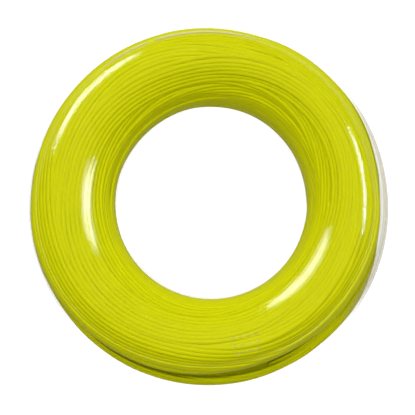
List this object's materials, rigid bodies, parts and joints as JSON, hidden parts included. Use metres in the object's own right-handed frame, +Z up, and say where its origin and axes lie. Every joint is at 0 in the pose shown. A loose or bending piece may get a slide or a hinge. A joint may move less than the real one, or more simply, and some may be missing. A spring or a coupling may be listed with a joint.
{
  "type": "string reel",
  "caption": "Ring coil of racket string with no spool, held by a clear shrink film that is sealed round the rim and open through the eye.",
  "frame": {"origin": "centre of the base, on the surface that the ring lies on", "axes": "+Z up along the axis of the eye, +Y towards the closing tape on the rim"},
  "size_m": [0.12, 0.1202, 0.028],
  "materials": {
    "string": "smooth extruded monofilament, slightly translucent",
    "film": "clear glossy shrink film",
    "tape": "clear adhesive tape, glossy"
  },
  "bodies": {
    "root": {"upper_turns": "string", "lower_turns": "string", "eye_turns": "string", "start_end": "string", "finish_end": "string", "film_front": "film", "film_back": "film", "closing_tape": "tape"}
  },
  "joints": []
}
